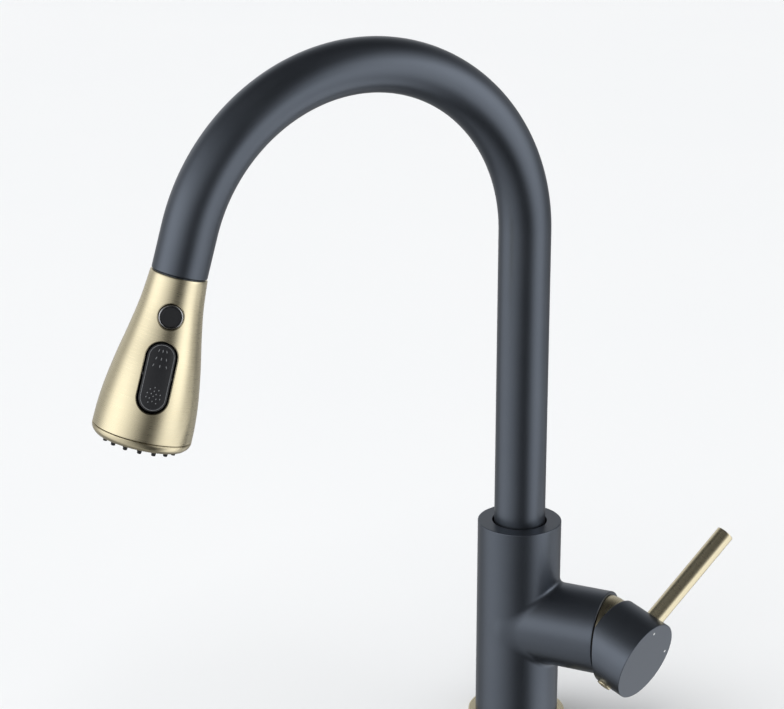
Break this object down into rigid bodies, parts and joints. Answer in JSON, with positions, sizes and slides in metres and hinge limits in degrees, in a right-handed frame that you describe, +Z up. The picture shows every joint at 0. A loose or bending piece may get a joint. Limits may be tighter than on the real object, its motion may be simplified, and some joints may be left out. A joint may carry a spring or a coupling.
{
  "type": "pull-down kitchen faucet",
  "caption": "Single-lever gooseneck kitchen faucet in satin black with brushed gold trim; swivel spout, tilting side lever and a pull-down spray head with rocker and pause button.",
  "frame": {"origin": "on the body axis at the top of the countertop, where the counter hole is", "axes": "+Z up; +X along the side branch that carries the handle; -Y toward the sink. The spout is stored swung 35 degrees from -Y toward -X, as shown."},
  "size_m": [0.2598, 0.2588, 0.5254],
  "materials": {
    "black_coat": "satin black powder coat",
    "brushed_gold": "brushed champagne gold",
    "raw_brass": "turned brass",
    "steel": "bright stainless steel",
    "rubber": "moulded black rubber",
    "black_plastic": "fine satin black",
    "grey_plastic": "moulded grey",
    "ceramic": "lapped ceramic",
    "enamel": "filled index mark",
    "hose_braid": "woven nylon braid"
  },
  "bodies": {
    "body": {"base_ring": "brushed_gold", "base_gasket": "rubber", "body_casting": "black_coat", "shank": "raw_brass", "clamp_washer_rubber": "rubber", "clamp_washer_steel": "steel", "mounting_nut": "raw_brass", "clamp_screw_1": "steel", "clamp_screw_2": "steel", "hot_inlet": "raw_brass", "cold_inlet": "raw_brass", "outlet_pipe": "raw_brass", "spout_set_screw": "steel", "spout_bush_upper": "black_plastic", "spout_bush_lower": "black_plastic", "cartridge_housing": "grey_plastic", "cartridge_base": "grey_plastic", "seal_hot": "rubber", "seal_cold": "rubber", "seal_outlet": "rubber", "ceramic_disc_fixed": "ceramic", "retaining_nut": "raw_brass", "dome_ring": "brushed_gold"},
    "spout": {"spout_tube": "black_coat", "spout_foot": "raw_brass", "dock_collar": "black_plastic", "dock_magnet": "steel", "pull_hose": "hose_braid", "hose_tail": "raw_brass"},
    "hose_end": {"hose_nut": "raw_brass", "hose_ferrule": "steel"},
    "spray_head": {"strike_ring": "black_coat", "head_core": "black_plastic", "head_shell": "brushed_gold", "button_bezel": "steel", "button_spring": "steel", "rocker_pin": "steel", "nozzle_ring": "brushed_gold", "spray_face": "black_plastic", "nozzle_mat": "rubber", "aerator": "black_plastic"},
    "pause_button": {"pause_button": "black_plastic"},
    "rocker": {"rocker": "black_plastic"},
    "diverter": {"diverter": "grey_plastic"},
    "handle_turn": {"stem_carrier": "grey_plastic", "stem_pin": "steel"},
    "handle": {"handle_cap": "black_coat", "lever_rod": "brushed_gold", "cap_set_screw": "steel", "cap_plug": "brushed_gold", "mark_hot": "enamel", "mark_cold": "enamel", "cartridge_stem": "steel"},
    "moving_disc": {"ceramic_disc_moving": "ceramic"}
  },
  "joints": [
    {"name": "spout_swivel", "type": "hinge", "parent": "body", "child": "spout", "pos_m": [0, 0, 0.12], "axis": [0, 0, 1], "continuous": true},
    {"name": "head_pull", "type": "slide", "parent": "spout", "child": "hose_end", "axis": [-0.16, -0.2285, -0.9603], "range_m": [0, 0.45], "stiffness_N_per_m": 6, "springref_m": -2},
    {"name": "head_twist", "type": "hinge", "parent": "hose_end", "child": "spray_head", "pos_m": [-0.11491, -0.16411, 0.29051], "axis": [-0.16, -0.2285, -0.9603], "continuous": true},
    {"name": "pause_press", "type": "slide", "parent": "spray_head", "child": "pause_button", "axis": [-0.517, 0.8481, -0.1157], "range_m": [0, 0.0015], "stiffness_N_per_m": 600, "springref_m": -0.002},
    {"name": "rocker_tilt", "type": "hinge", "parent": "spray_head", "child": "rocker", "pos_m": [-0.11432, -0.18896, 0.24572], "axis": [-0.8409, -0.4779, 0.2539], "range_deg": [-8, 0]},
    {"name": "diverter_slide", "type": "slide", "parent": "spray_head", "child": "diverter", "axis": [-0.16, -0.2285, -0.9603], "range_m": [-0.0007, 0]},
    {"name": "handle_turn", "type": "hinge", "parent": "body", "child": "handle_turn", "pos_m": [0.0497, 0, 0.062], "axis": [1, 0, 0], "range_deg": [-6, 94]},
    {"name": "handle_lift", "type": "hinge", "parent": "handle_turn", "child": "handle", "pos_m": [0.0497, 0, 0.062], "axis": [0, 0.7193, -0.6947], "range_deg": [-22, 2]},
    {"name": "disc_slide", "type": "slide", "parent": "handle_turn", "child": "moving_disc", "axis": [0, 0.6947, 0.7193], "range_m": [-0.0043, 0.0005]}
  ],
  "couplings": [
    {"joint": "diverter_slide", "follows": "rocker_tilt", "m_per_rad": 0.0047},
    {"joint": "disc_slide", "follows": "handle_lift", "m_per_rad": 0.01095}
  ]
}
